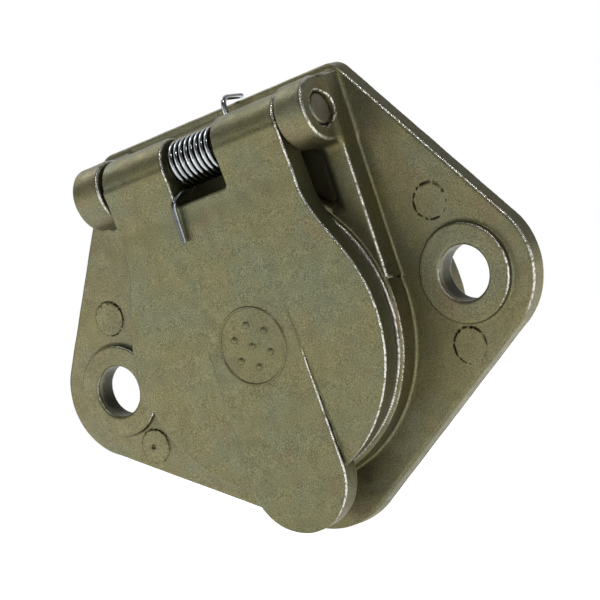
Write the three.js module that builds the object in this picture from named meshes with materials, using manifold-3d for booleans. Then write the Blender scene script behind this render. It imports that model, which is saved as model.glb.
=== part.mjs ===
// Seven-pole trailer lighting socket: die-cast two-bolt housing, sprung lid, contacts and their insert.
// Millimetres. +X right and +Z up as seen from the front, the front faces -Y.
// The origin is midway between the two bolt holes, in the plane of the panel behind the flange.
import * as THREE from "three";
import { mergeVertices } from "three/addons/utils/BufferGeometryUtils.js";
import Module from "manifold-3d";

const wasm = await Module();
wasm.setup();

// Flange
const HOLE_SPACING = 70;
const HOLE_RADIUS = 4.25;
const FLANGE_THICKNESS = 3.2;
const LOBE_RADIUS = 11.5;
const FLANGE_TOP = 37.5;
const TOP_CORNER_RADIUS = 3;
const TOP_CORNER_X = 22.33;
const FLANGE_BOTTOM = -32.2;
const BOTTOM_CORNER_RADIUS = 14.7;
const BOSS_RADIUS = 7.7;
const BOSS_HEIGHT = 1.1;
const PAD_RADIUS = 2.8;
const PAD_HEIGHT = 0.3;
const PADS = [
  [32.8, 12],
  [31.7, -10.6],
];

// Hinge
const HINGE_Z = 30.5;
const HINGE_AHEAD = 6.1; // from the flange's front face
const HINGE_Y = -FLANGE_THICKNESS - HINGE_AHEAD;
const EAR_INNER = 18.1;
const EAR_OUTER = 23.6;
const EAR_RADIUS = 5.2;
const PIN_RADIUS = 2.5;
const PIN_END = 23.3;
const PIN_HOLE_IN_EAR = 2.65;
const PIN_HOLE_IN_LID = 2.75;

// Barrel and the shoulder between it and the ears
const LID_TILT = THREE.MathUtils.degToRad(2.8);
const BARREL_RADIUS = 23.6;
const RIM_RADIUS = 23.1;
const BORE_RADIUS = 20.8;
const RIM_BEHIND_HINGE = 0.3;
const SHOULDER_BEHIND_RIM = 0.5;
const SHOULDER_HEIGHT = 3.75; // from the flange's front face
const BARREL_BACK = 15;
const LEDGE_FRONT = 12;
const LEDGE_BORE_RADIUS = 17.2;
const KEYWAY_WIDTH = 4;
const KEYWAY_DEPTH = 1.5;
const TROUGH_RADIUS = 5.1;
const HOLLOW_HALF_WIDTH = 19.6;
const HOLLOW_FLOOR = 1.4; // from the flange's front face

// Lid, measured from the hinge axis
const LID_RADIUS = 23.6;
const LID_CENTRE_DOWN = 30.8;
const LID_BARREL_RADIUS = 4.65;
const LID_HALF_WIDTH = 17.65;
const LID_BACK = 0.05;
const LID_SHEET = 2.7;
const LID_SKIRT = 1.2;
const NECK_WALL = 2;
const NECK_POCKET_TOP = 7;
const TAB_RADIUS = 8.8;
const TAB_END_DOWN = 52.2;
const TAB_RISE = 0.7;
const SLOT_LEFT = -5;
const SLOT_RIGHT = 5.2;
const SLOT_DOWN = 6.2;
const SEAL_GAP = 0.3;

// Spring
const WIRE_RADIUS = 0.47;
const COIL_RADIUS = 3.5;
const COIL_LEFT = -4.35;
const COIL_RIGHT = 4.2;
const COIL_START = THREE.MathUtils.degToRad(200);
const COIL_END = THREE.MathUtils.degToRad(270 + 8 * 360);
const COIL_STEPS_PER_TURN = 16;

// Insert, contacts and screws
const INSERT_RADIUS = 20.4;
const INSERT_FRONT = 8;
const INSERT_FLANGE = 3.7;
const INSERT_BOSS_RADIUS = 16.7;
const INSERT_BACK = 17;
const CONTACT_CIRCLE = 11.6;
const CONTACT_RADIUS = 2;
const CONTACT_TIP = -1.5;
const CONTACT_COUNT = 7;
const POST_RADIUS = 2.9;
const POST_BACK = 25.5;
const WIRE_HOLE_RADIUS = 1.6;
const WIRE_HOLE_DEPTH = 6.5;
const TERMINAL_SCREW_Y = 22.5;
const TERMINAL_SCREW_RADIUS = 1.15;
const TERMINAL_HEAD_RADIUS = 1.6;
const FIXING_CIRCLE = 18.7;
const FIXING_ANGLES = [30, 150, 270];
const FIXING_RADIUS = 1.1;
const FIXING_HEAD_RADIUS = 1.6;
const FIXING_HEAD_HEIGHT = 1.2;
const FIXING_LENGTH = 4.6;
const FIT_GAP = 0.15;

// ---- shapes and solids ----

// A convex outline around circles listed counter-clockwise as [x, y, radius].
function beltAround(circles) {
  const shape = new THREE.Shape();
  const tangent = (a, b) => {
    const run = Math.hypot(b[0] - a[0], b[1] - a[1]);
    return Math.atan2(b[1] - a[1], b[0] - a[0]) - Math.acos((a[2] - b[2]) / run);
  };
  circles.forEach((circle, i) => {
    const before = circles[(i + circles.length - 1) % circles.length];
    const after = circles[(i + 1) % circles.length];
    shape.absarc(circle[0], circle[1], circle[2], tangent(before, circle), tangent(circle, after), false);
  });
  return shape;
}

function solidOf(geometry) {
  const bare = geometry.clone();
  bare.deleteAttribute("normal");
  bare.deleteAttribute("uv");
  const merged = mergeVertices(bare, 1e-4);
  return new wasm.Manifold(
    new wasm.Mesh({
      numProp: 3,
      vertProperties: new Float32Array(merged.attributes.position.array),
      triVerts: new Uint32Array(merged.index.array),
    }),
  );
}

function geometryOf(solid) {
  const mesh = solid.getMesh();
  const geometry = new THREE.BufferGeometry();
  geometry.setAttribute("position", new THREE.BufferAttribute(mesh.vertProperties, 3));
  geometry.setIndex(new THREE.BufferAttribute(mesh.triVerts, 1));
  geometry.computeVertexNormals();
  return geometry;
}

// An outline drawn in X and Z, from y = front to y = back.
function plateSolid(shape, front, back, curveSegments = 12) {
  const geometry = new THREE.ExtrudeGeometry(shape, {
    depth: back - front,
    bevelEnabled: false,
    curveSegments,
  });
  geometry.rotateX(Math.PI / 2);
  geometry.translate(0, back, 0);
  return solidOf(geometry);
}

// A round body about an axis along Y, through (x, z).
function roundSolid(radius, front, back, x = 0, z = 0, sides = 24) {
  const geometry = new THREE.CylinderGeometry(radius, radius, back - front, sides);
  geometry.translate(x, (front + back) / 2, z);
  return solidOf(geometry);
}

// A round body about the hinge axis or a line beside it, from x = left to x = right.
function crossSolid(radius, left, right, y, z, sides = 32) {
  const geometry = new THREE.CylinderGeometry(radius, radius, right - left, sides);
  geometry.rotateZ(Math.PI / 2);
  geometry.translate((left + right) / 2, y, z);
  return solidOf(geometry);
}

function boxSolid(low, high) {
  const size = high.map((value, i) => value - low[i]);
  const geometry = new THREE.BoxGeometry(...size);
  geometry.translate(...low.map((value, i) => value + size[i] / 2));
  return solidOf(geometry);
}

// A turned body about the Y axis, from [radius, y] points.
function turnedSolid(points, sides) {
  const profile = points.map(([radius, y]) => new THREE.Vector2(radius, y));
  return solidOf(new THREE.LatheGeometry(profile, sides));
}

// Everything ahead of a plane parallel to the closed lid, "behind" the hinge axis.
function aheadOfLidPlane(behind) {
  const reach = 200;
  const geometry = new THREE.BoxGeometry(reach, reach, reach);
  geometry.translate(0, behind - reach / 2, 0);
  geometry.rotateX(LID_TILT);
  geometry.translate(0, HINGE_Y, HINGE_Z);
  return solidOf(geometry);
}

function meshOf(name, solid, material) {
  const mesh = new THREE.Mesh(geometryOf(solid), material);
  mesh.name = name;
  return mesh;
}

// ---- materials ----

const castZinc = new THREE.MeshStandardMaterial({ color: 0x8c8a74, roughness: 0.45, metalness: 0.85 });
const lidZinc = new THREE.MeshStandardMaterial({ color: 0x94937c, roughness: 0.45, metalness: 0.85 });
const springSteel = new THREE.MeshStandardMaterial({ color: 0xc9ccd0, roughness: 0.22, metalness: 1 });
const pinSteel = new THREE.MeshStandardMaterial({ color: 0x8f8c84, roughness: 0.4, metalness: 1 });
const brass = new THREE.MeshStandardMaterial({ color: 0xb8964a, roughness: 0.3, metalness: 1 });
const phenolic = new THREE.MeshStandardMaterial({ color: 0x1d1a18, roughness: 0.5, metalness: 0 });
const rubber = new THREE.MeshStandardMaterial({ color: 0x161616, roughness: 0.85, metalness: 0 });
const screwSteel = new THREE.MeshStandardMaterial({ color: 0xb9b29a, roughness: 0.3, metalness: 1 });

// ---- housing ----

function flangeSolid() {
  const half = HOLE_SPACING / 2;
  const cornerZ = FLANGE_TOP - TOP_CORNER_RADIUS;
  const outline = beltAround([
    [half, 0, LOBE_RADIUS],
    [TOP_CORNER_X, cornerZ, TOP_CORNER_RADIUS],
    [-TOP_CORNER_X, cornerZ, TOP_CORNER_RADIUS],
    [-half, 0, LOBE_RADIUS],
    [0, FLANGE_BOTTOM + BOTTOM_CORNER_RADIUS, BOTTOM_CORNER_RADIUS],
  ]);
  let flange = plateSolid(outline, -FLANGE_THICKNESS, 0);
  for (const side of [-1, 1]) {
    const bossFront = -FLANGE_THICKNESS - BOSS_HEIGHT;
    flange = flange.add(roundSolid(BOSS_RADIUS, bossFront, -1, side * half, 0, 40));
    for (const [x, z] of PADS) {
      const padFront = -FLANGE_THICKNESS - PAD_HEIGHT;
      flange = flange.add(roundSolid(PAD_RADIUS, padFront, -1, side * x, z));
    }
  }
  return flange;
}

// The straight walls that carry the ears and run into the barrel, with a hollow between them.
function shoulderSolid() {
  const outline = new THREE.Shape();
  outline.absarc(0, 0, BARREL_RADIUS, Math.PI, 2 * Math.PI, false);
  outline.lineTo(BARREL_RADIUS, HINGE_Z);
  outline.lineTo(-BARREL_RADIUS, HINGE_Z);
  const blank = plateSolid(outline, -FLANGE_THICKNESS - SHOULDER_HEIGHT, -1, 48);
  const hollow = boxSolid(
    [-HOLLOW_HALF_WIDTH, -14, 0],
    [HOLLOW_HALF_WIDTH, -FLANGE_THICKNESS - HOLLOW_FLOOR, HINGE_Z],
  ).subtract(roundSolid(BARREL_RADIUS, -15, 0, 0, 0, 72));
  return blank.subtract(aheadOfLidPlane(RIM_BEHIND_HINGE + SHOULDER_BEHIND_RIM)).subtract(hollow);
}

function earSolid(left, right) {
  const round = crossSolid(EAR_RADIUS, left, right, HINGE_Y, HINGE_Z, 40);
  const foot = boxSolid(
    [left, HINGE_Y, HINGE_Z - EAR_RADIUS],
    [right, -1, HINGE_Z + EAR_RADIUS],
  );
  return round.add(foot);
}

function housingSolid() {
  const rim = roundSolid(RIM_RADIUS, -14, -1, 0, 0, 72).subtract(aheadOfLidPlane(RIM_BEHIND_HINGE));
  let housing = flangeSolid().add(shoulderSolid()).add(rim);
  housing = housing.add(roundSolid(BARREL_RADIUS, -2, BARREL_BACK, 0, 0, 72));
  housing = housing.subtract(crossSolid(TROUGH_RADIUS, -EAR_INNER, EAR_INNER, HINGE_Y, HINGE_Z));
  housing = housing.subtract(
    boxSolid([-EAR_INNER, -14, HINGE_Z], [EAR_INNER, HINGE_Y + TROUGH_RADIUS, HINGE_Z + 8]),
  );
  housing = housing.add(earSolid(-EAR_OUTER, -EAR_INNER)).add(earSolid(EAR_INNER, EAR_OUTER));
  housing = housing.subtract(roundSolid(BORE_RADIUS, -14, LEDGE_FRONT, 0, 0, 72));
  housing = housing.subtract(roundSolid(LEDGE_BORE_RADIUS, 0, BARREL_BACK + 1, 0, 0, 60));
  const keyReach = BORE_RADIUS + KEYWAY_DEPTH;
  housing = housing.subtract(
    boxSolid([-KEYWAY_WIDTH / 2, -14, -keyReach], [KEYWAY_WIDTH / 2, INSERT_FRONT, -BORE_RADIUS + 2]),
  );
  for (const side of [-1, 1]) {
    housing = housing.subtract(roundSolid(HOLE_RADIUS, -6, 1, (side * HOLE_SPACING) / 2, 0, 32));
  }
  for (const angle of FIXING_ANGLES) {
    const [x, z] = onCircle(FIXING_CIRCLE, angle);
    const holeRadius = FIXING_RADIUS + FIT_GAP;
    housing = housing.subtract(roundSolid(holeRadius, LEDGE_FRONT - 1, BARREL_BACK + 1, x, z, 12));
  }
  return housing.subtract(
    crossSolid(PIN_HOLE_IN_EAR, -EAR_OUTER - 1, EAR_OUTER + 1, HINGE_Y, HINGE_Z),
  );
}

// ---- lid ----

// The lid is drawn about the hinge axis, hanging straight down, and tilted into place at the end.
function lidOutline() {
  const top = -LID_CENTRE_DOWN + Math.sqrt(LID_RADIUS ** 2 - LID_HALF_WIDTH ** 2);
  const start = Math.atan2(top + LID_CENTRE_DOWN, -LID_HALF_WIDTH);
  const end = 2 * Math.PI + Math.atan2(top + LID_CENTRE_DOWN, LID_HALF_WIDTH);
  const outline = new THREE.Shape();
  outline.absarc(0, -LID_CENTRE_DOWN, LID_RADIUS, start, end, false);
  outline.lineTo(LID_HALF_WIDTH, 0);
  outline.lineTo(-LID_HALF_WIDTH, 0);
  return outline;
}

function lidSolid() {
  const front = -LID_BARREL_RADIUS;
  const sheetBack = front + LID_SHEET;
  let lid = plateSolid(lidOutline(), front, -LID_BACK, 36);
  const pocketRadius = LID_RADIUS - LID_SKIRT;
  lid = lid.subtract(roundSolid(pocketRadius, sheetBack, 1, 0, -LID_CENTRE_DOWN, 72));
  lid = lid.subtract(
    boxSolid(
      [-LID_HALF_WIDTH + NECK_WALL, sheetBack, -LID_CENTRE_DOWN],
      [LID_HALF_WIDTH - NECK_WALL, 1, -NECK_POCKET_TOP],
    ),
  );
  const tab = beltAround([
    [0, -LID_CENTRE_DOWN - TAB_RADIUS, TAB_RADIUS],
    [0, -TAB_END_DOWN, TAB_RADIUS],
  ]);
  lid = lid.add(plateSolid(tab, front - TAB_RISE, sheetBack));
  lid = lid.add(crossSolid(LID_BARREL_RADIUS, -LID_HALF_WIDTH, LID_HALF_WIDTH, 0, 0));
  lid = lid.subtract(boxSolid([SLOT_LEFT, -8, -SLOT_DOWN], [SLOT_RIGHT, 8, 8]));
  return lid.subtract(crossSolid(PIN_HOLE_IN_LID, -LID_HALF_WIDTH - 1, LID_HALF_WIDTH + 1, 0, 0));
}

function sealSolid() {
  const front = -LID_BARREL_RADIUS + LID_SHEET + SEAL_GAP;
  return roundSolid(LID_RADIUS - LID_SKIRT - SEAL_GAP, front, -LID_BACK, 0, -LID_CENTRE_DOWN, 60);
}

// ---- hinge pin and spring ----

function pinSolid() {
  return crossSolid(PIN_RADIUS, -PIN_END, PIN_END, HINGE_Y, HINGE_Z, 28);
}

// The wire's centre line: down the lid's face, round the pin, up and back over the flange's top edge.
function springPath() {
  const above = (z, ahead) => new THREE.Vector3(0, -FLANGE_THICKNESS - ahead, z);
  const at = (x, z, ahead) => above(z, ahead).setX(x);
  const points = [
    at(-5.2, 18.4, 10.85),
    at(-5.1, 20.5, 10.97),
    at(-5, 22.6, 11.1),
    at(-4.85, 24.1, 11.2),
    at(-4.6, 24.9, 10.85),
    at(-4.45, 25.7, 9.4),
    at(-4.4, 26.5, 7.2),
  ];
  const turns = (COIL_END - COIL_START) / (2 * Math.PI);
  const steps = Math.round(turns * COIL_STEPS_PER_TURN);
  for (let i = 0; i <= steps; i += 1) {
    const angle = COIL_START + ((COIL_END - COIL_START) * i) / steps;
    const x = COIL_LEFT + ((COIL_RIGHT - COIL_LEFT) * i) / steps;
    const z = HINGE_Z + COIL_RADIUS * Math.cos(angle);
    points.push(at(x, z, HINGE_AHEAD + COIL_RADIUS * Math.sin(angle)));
  }
  const hookFront = HINGE_AHEAD - COIL_RADIUS;
  points.push(
    at(COIL_RIGHT, 33.5, hookFront),
    at(COIL_RIGHT, 36.4, hookFront),
    at(COIL_RIGHT, 37.7, hookFront - 0.3),
    at(COIL_RIGHT, 38.3, hookFront - 1.1),
    at(COIL_RIGHT, 38.35, 0),
    at(COIL_RIGHT, 38.3, -3),
  );
  return points;
}

function springSolid() {
  const points = springPath();
  const section = new THREE.Shape();
  section.absarc(0, 0, WIRE_RADIUS, 0, 2 * Math.PI, false);
  const geometry = new THREE.ExtrudeGeometry(section, {
    steps: points.length + 12,
    curveSegments: 6,
    bevelEnabled: false,
    extrudePath: new THREE.CatmullRomCurve3(points),
  });
  return solidOf(geometry);
}

// ---- insert, contacts and screws ----

function onCircle(radius, degrees) {
  const angle = THREE.MathUtils.degToRad(degrees);
  return [radius * Math.cos(angle), radius * Math.sin(angle)];
}

// The last contact is the middle one; its terminal screw points up.
function contactPlace(number) {
  if (number === CONTACT_COUNT) return { x: 0, z: 0, outward: 90 };
  const outward = 60 * (number - 1);
  const [x, z] = onCircle(CONTACT_CIRCLE, outward);
  return { x, z, outward };
}

function insertSolid() {
  const flangeBack = INSERT_FRONT + INSERT_FLANGE;
  let insert = turnedSolid(
    [
      [0, INSERT_FRONT],
      [INSERT_RADIUS, INSERT_FRONT],
      [INSERT_RADIUS, flangeBack],
      [INSERT_BOSS_RADIUS, flangeBack],
      [INSERT_BOSS_RADIUS, INSERT_BACK],
      [0, INSERT_BACK],
    ],
    60,
  );
  for (let number = 1; number <= CONTACT_COUNT; number += 1) {
    const { x, z } = contactPlace(number);
    insert = insert.subtract(roundSolid(CONTACT_RADIUS + FIT_GAP, 0, INSERT_BACK + 1, x, z, 16));
  }
  for (const angle of FIXING_ANGLES) {
    const [x, z] = onCircle(FIXING_CIRCLE, angle);
    insert = insert.subtract(roundSolid(FIXING_RADIUS + FIT_GAP, 0, flangeBack + 1, x, z, 12));
    const sinkBack = INSERT_FRONT + FIXING_HEAD_HEIGHT;
    insert = insert.subtract(roundSolid(FIXING_HEAD_RADIUS + FIT_GAP, 0, sinkBack + FIT_GAP, x, z, 16));
  }
  return insert;
}

// A radial direction for screws: the Y axis turned to point outwards at the given angle.
function turnedOutwards(geometry, degrees, x, z) {
  geometry.rotateZ(-Math.PI / 2);
  geometry.rotateY(-THREE.MathUtils.degToRad(degrees));
  geometry.translate(x, TERMINAL_SCREW_Y, z);
  return solidOf(geometry);
}

function contactSolid(number) {
  const { x, z, outward } = contactPlace(number);
  const postFront = INSERT_BACK + SEAL_GAP;
  const body = turnedSolid(
    [
      [0, CONTACT_TIP],
      [0.55 * CONTACT_RADIUS, CONTACT_TIP + 0.2],
      [CONTACT_RADIUS, CONTACT_TIP + 1.4],
      [CONTACT_RADIUS, postFront],
      [POST_RADIUS, postFront],
      [POST_RADIUS, POST_BACK],
      [WIRE_HOLE_RADIUS, POST_BACK],
      [WIRE_HOLE_RADIUS, POST_BACK - WIRE_HOLE_DEPTH],
      [0, POST_BACK - WIRE_HOLE_DEPTH],
    ],
    16,
  ).translate(x, 0, z);
  const drill = new THREE.CylinderGeometry(
    TERMINAL_SCREW_RADIUS + FIT_GAP,
    TERMINAL_SCREW_RADIUS + FIT_GAP,
    5,
    12,
  );
  drill.translate(0, 2.5, 0);
  return body.subtract(turnedOutwards(drill, outward, x, z));
}

function terminalScrewSolid(number) {
  const { x, z, outward } = contactPlace(number);
  const points = [
    [0, 1],
    [TERMINAL_SCREW_RADIUS, 1],
    [TERMINAL_SCREW_RADIUS, POST_RADIUS + 0.3],
    [TERMINAL_HEAD_RADIUS, POST_RADIUS + 0.3],
    [TERMINAL_HEAD_RADIUS, POST_RADIUS + 1.2],
    [0, POST_RADIUS + 1.2],
  ].map(([radius, along]) => new THREE.Vector2(radius, along));
  return turnedOutwards(new THREE.LatheGeometry(points, 12), outward, x, z);
}

function fixingScrewSolid(degrees) {
  const [x, z] = onCircle(FIXING_CIRCLE, degrees);
  const headBack = INSERT_FRONT + FIXING_HEAD_HEIGHT;
  return turnedSolid(
    [
      [0, INSERT_FRONT],
      [FIXING_HEAD_RADIUS, INSERT_FRONT],
      [FIXING_HEAD_RADIUS, headBack],
      [FIXING_RADIUS, headBack],
      [FIXING_RADIUS, headBack + FIXING_LENGTH],
      [0, headBack + FIXING_LENGTH],
    ],
    12,
  ).translate(x, 0, z);
}

// ---- assembly ----

const socket = new THREE.Group();
socket.add(meshOf("housing", housingSolid(), castZinc));

const lidGroup = new THREE.Group();
lidGroup.position.set(0, HINGE_Y, HINGE_Z);
lidGroup.rotation.x = LID_TILT;
lidGroup.add(meshOf("lid", lidSolid(), lidZinc));
lidGroup.add(meshOf("lid_seal", sealSolid(), rubber));
socket.add(lidGroup);

socket.add(meshOf("hinge_pin", pinSolid(), pinSteel));
socket.add(meshOf("lid_spring", springSolid(), springSteel));
socket.add(meshOf("contact_insert", insertSolid(), phenolic));
for (let number = 1; number <= CONTACT_COUNT; number += 1) {
  socket.add(meshOf(`contact_pin_${number}`, contactSolid(number), brass));
  socket.add(meshOf(`terminal_screw_${number}`, terminalScrewSolid(number), screwSteel));
}
FIXING_ANGLES.forEach((angle, i) => {
  socket.add(meshOf(`insert_screw_${i + 1}`, fixingScrewSolid(angle), screwSteel));
});

export default socket;
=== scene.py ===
"""Looks of a seven-pole trailer lighting socket: cast shells, sprung lid, seal, insert, contacts and screws.

Each cast or moulded piece is a solid described by a distance field in millimetres (negative inside) and
meshed by surface nets, so that its edges are rounded and its corners filleted as a casting's are.
"""

import math

import bpy
import numpy as np
from mathutils import Matrix, Vector


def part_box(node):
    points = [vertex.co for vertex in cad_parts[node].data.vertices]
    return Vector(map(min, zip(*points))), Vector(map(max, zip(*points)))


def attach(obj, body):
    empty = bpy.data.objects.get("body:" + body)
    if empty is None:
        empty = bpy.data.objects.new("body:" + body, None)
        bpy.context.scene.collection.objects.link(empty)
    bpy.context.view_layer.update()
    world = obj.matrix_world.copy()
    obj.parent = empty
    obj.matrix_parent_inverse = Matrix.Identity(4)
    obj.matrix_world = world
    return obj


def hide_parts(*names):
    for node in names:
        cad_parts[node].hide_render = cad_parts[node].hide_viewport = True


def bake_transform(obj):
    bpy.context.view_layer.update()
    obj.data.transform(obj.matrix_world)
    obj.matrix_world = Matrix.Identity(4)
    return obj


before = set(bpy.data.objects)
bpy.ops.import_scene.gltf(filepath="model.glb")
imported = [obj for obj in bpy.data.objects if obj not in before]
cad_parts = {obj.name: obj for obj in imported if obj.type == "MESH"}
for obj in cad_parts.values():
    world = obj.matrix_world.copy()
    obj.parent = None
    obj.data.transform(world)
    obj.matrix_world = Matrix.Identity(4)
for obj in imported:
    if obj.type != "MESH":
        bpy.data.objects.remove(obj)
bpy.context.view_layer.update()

MM = 0.001


def box_mm(node):
    """A CAD node's lowest and highest corner in millimetres."""
    return [np.array(corner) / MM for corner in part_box(node)]


# ---- driving dimensions, in millimetres ----

HOUSING_LOW, HOUSING_HIGH = box_mm("housing")
LID_LOW, LID_HIGH = box_mm("lid")
PIN_LOW, PIN_HIGH = box_mm("hinge_pin")
INSERT_LOW, INSERT_HIGH = box_mm("contact_insert")
CONTACT_LOW, CONTACT_HIGH = box_mm("contact_pin_7")

HINGE_Y, HINGE_Z = (PIN_LOW + PIN_HIGH)[1:] / 2
PIN_RADIUS = (PIN_HIGH - PIN_LOW)[2] / 2
PIN_END = PIN_HIGH[0]

FLANGE_FRONT = -3.2
LOBE_RADIUS = 11.5
HOLE_X = HOUSING_HIGH[0] - LOBE_RADIUS
HOLE_RADIUS = 4.25
TOP_CORNER = (22.33, 34.5, 3.0)
BOTTOM_CORNER = (0.0, HOUSING_LOW[2] + 14.7, 14.7)
BOSS_RADIUS = 7.7
BOSS_HEIGHT = 1.1
PAD_RADIUS = 2.8
PAD_HEIGHT = 0.28
PAD_RIGHT_SHARE = 0.6
PADS = ((32.8, 12.0), (31.7, -10.6))
DOT_RADIUS = 0.4
DOT_OFFSET = 0.4
FLANGE_DRAFT = 0.05
BOSS_ROOT = -2.0
RIM_ROOT = -1.0

BARREL_RADIUS = 23.6
BARREL_BACK = HOUSING_HIGH[1]
SHOULDER_BEHIND = 0.8
SHOULDER_HEIGHT = 3.75
SHOULDER_HALF_WIDTH = 23.75
SHOULDER_DRAFT = 0.09
SHOULDER_START = 3.0
RIM_RADIUS = 23.25
RIM_BEHIND = 0.3
BORE_RADIUS = 20.8
LEDGE_FRONT = 12.0
LEDGE_BORE_RADIUS = 17.2
TROUGH_RADIUS = 5.1
HOLLOW_HALF_WIDTH = 18.2
HOLLOW_BOTTOM = 17.0
HOLLOW_FLOOR = 1.4
HOLLOW_LEAN = 0.6
HOLLOW_GAP = 0.3
KEYWAY_Z = -20.5
KEYWAY_HALF_WIDTH = 2.0
KEYWAY_HALF_HEIGHT = 1.8
EAR_INNER = 18.1
EAR_OUTER = 23.6
EAR_RADIUS = 5.2
SHOULDER_TOP = HINGE_Z + EAR_RADIUS - 0.4

LID_TILT = math.radians(2.8)
LID_RADIUS = 23.6
LID_CENTRE = -30.8
LID_FRONT = -4.65
LID_BACK = -0.05
LID_SHEET = 2.7
LID_TAPER = 0.15
LID_HALF_WIDTH = 17.65
NECK_TAPER = 0.03
DIP_UP = -7.2
DIP_DEPTH = 0.14
DIP_REACH = 2.0
KNUCKLE_PROUD = 0.03
POCKET_RADIUS = 21.9
POCKET_HALF_WIDTH = 15.4
POCKET_TOP = -7.0
TAB_TOP = (0.0, -22.0, 8.45)
TAB_END = (0.0, -52.2, 8.9)
TAB_RISE_START = -25.5
TAB_SLOPE = 0.032
TAB_RISE = 0.85
TAB_SUNK = -0.4
SLOT_LEFT = -5.0
SLOT_RIGHT = 5.2
SLOT_DOWN = -6.2

MARK_UP = LID_CENTRE + 0.2
MARK_RADIUS = 6.1
MARK_HEIGHT = 0.26
MARK_HALF_WIDTH = 0.28
MARK_SUNK = -0.06
MARK_DOT_RADIUS = 0.6
MARK_DOT_CIRCLE = 3.4

HOUSING_PIN_GAP = 0.15
LID_PIN_GAP = 0.25
WIRE_RADIUS = 0.45
COIL_RADIUS = 3.5
COIL_LEFT = -4.35
COIL_RIGHT = 4.2
COIL_TURNS = 8

CONTACT_COUNT = 7
CONTACT_CIRCLE = 11.6
CONTACT_RADIUS = 2.0
POST_RADIUS = 2.9
POST_LENGTH = 8.0
SPLIT_DEPTH = 7.0
WIRE_HOLE_RADIUS = 1.6
WIRE_HOLE_DEPTH = 6.5
CLAMP_FROM_BACK = 3.0
CLAMP_RADIUS = 1.3
FIXING_CIRCLE = 18.7
FIXING_ANGLES = (30, 150, 270)
FIXING_RADIUS = 1.25
FIXING_START = LEDGE_FRONT - 1
SCREW_HEAD_RADIUS = 1.6
SCREW_SLOT_HALF_WIDTH = 0.26
SCREW_SLOT_SHARE = 0.45
THREAD_DEPTH = 0.07
THREAD_PITCH = 0.6

INSERT_FLANGE = 3.7
INSERT_PLUG_RADIUS = 16.7
CONTACT_HOLE_RADIUS = 2.15
COLLAR_RADIUS = 3.6
COLLAR_HALF_WIDTH = 0.35
COLLAR_DEPTH = 0.6
COUNTERBORE_RADIUS = 1.75
COUNTERBORE_DEPTH = 1.35

# The mouths of the pin's holes, torn a little off centre by staking.
STAKE_FORWARD = 0.22
STAKE_DOWN = 0.12
STAKE_GAP = 0.3
STAKE_TEETH = 11
STAKE_RAGGED = 0.07
STAKE_DEPTH = 0.7


# ---- rounded edges and fillets of the castings, in millimetres ----

CAST_EDGE = 0.55
CAST_FILLET = 0.5
BOSS_EDGE = 0.3
PAD_FILLET = 0.12
DOT_EDGE = 0.15
SHOULDER_EDGE = 0.4
HOLLOW_EDGE = 1.2
RIM_EDGE = 0.16
RIM_FILLET = 0.3
BARREL_EDGE = 0.8
BARREL_FILLET = 0.6
EAR_FILLET = 1.6
SLOT_EDGE = 0.5
SLOT_CORNER = 0.7
RECESS_EDGE = 0.4
KEYWAY_EDGE = 0.3
BOLT_HOLE_EDGE = 0.6
SCREW_HOLE_EDGE = 0.2
PIN_HOLE_EDGE = 0.3
STAKE_EDGE = 0.12
LID_EDGE = 0.38
NECK_FILLET = 4.5
POCKET_FILLET = 1.5
TAB_EDGE = 0.3
TAB_FILLET = 0.05
KNUCKLE_FILLET = 0.8
HOUSING_RIPPLE = 0.02
LID_RIPPLE = 0.018


# ---- distance fields ----

def joined(a, b, fillet):
    """Both solids, with a fillet where they meet."""
    near = np.maximum(fillet - np.abs(a - b), 0) / fillet
    return np.minimum(a, b) - near * near * fillet / 4


def cut(solid, tool, edge):
    """The solid without the tool, with the cut's edges rounded."""
    return -joined(-solid, tool, edge)


def rounded(a, b, edge):
    """What is inside both surfaces, with the edge between them rounded."""
    a = a + edge
    b = b + edge
    return np.minimum(np.maximum(a, b), 0) + np.hypot(np.maximum(a, 0), np.maximum(b, 0)) - edge


def slab(outline, along, start, end, edge):
    """An outline carried from start to end along an axis."""
    return rounded(outline, np.abs(along - (start + end) / 2) - (end - start) / 2, edge)


def belt(u, v, first, second):
    """A belt round two circles given as (u, v, radius)."""
    ru, rv = second[0] - first[0], second[1] - first[1]
    run = ru * ru + rv * rv
    pu, pv = u - first[0], v - first[1]
    side = np.abs(pu * rv - pv * ru) / run
    along = (pu * ru + pv * rv) / run
    drop = first[2] - second[2]
    lean = math.sqrt(run - drop * drop)
    turn = lean * along - drop * side
    straight = lean * side + drop * along
    reach = side * side + along * along
    start = np.sqrt(run * reach) - first[2]
    end = np.sqrt(np.maximum(run * (reach + 1 - 2 * along), 0)) - second[2]
    return np.where(turn < 0, start, np.where(turn > lean, end, straight - first[2]))


def lid_frame(y, z):
    """Distance behind the hinge axis and above it, square to the closed lid."""
    dy, dz = y - HINGE_Y, z - HINGE_Z
    c, s = math.cos(LID_TILT), math.sin(LID_TILT)
    return dy * c + dz * s, dz * c - dy * s


def ripple(x, y, z, height):
    """The slight unevenness of a cast skin."""
    a = np.sin(0.83 * x + 1.9 * np.sin(0.31 * z) + 0.4 * y)
    b = np.sin(0.71 * z - 1.7 * np.sin(0.37 * x) + 0.6 * y)
    return height * a * b


# ---- meshing ----

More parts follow.
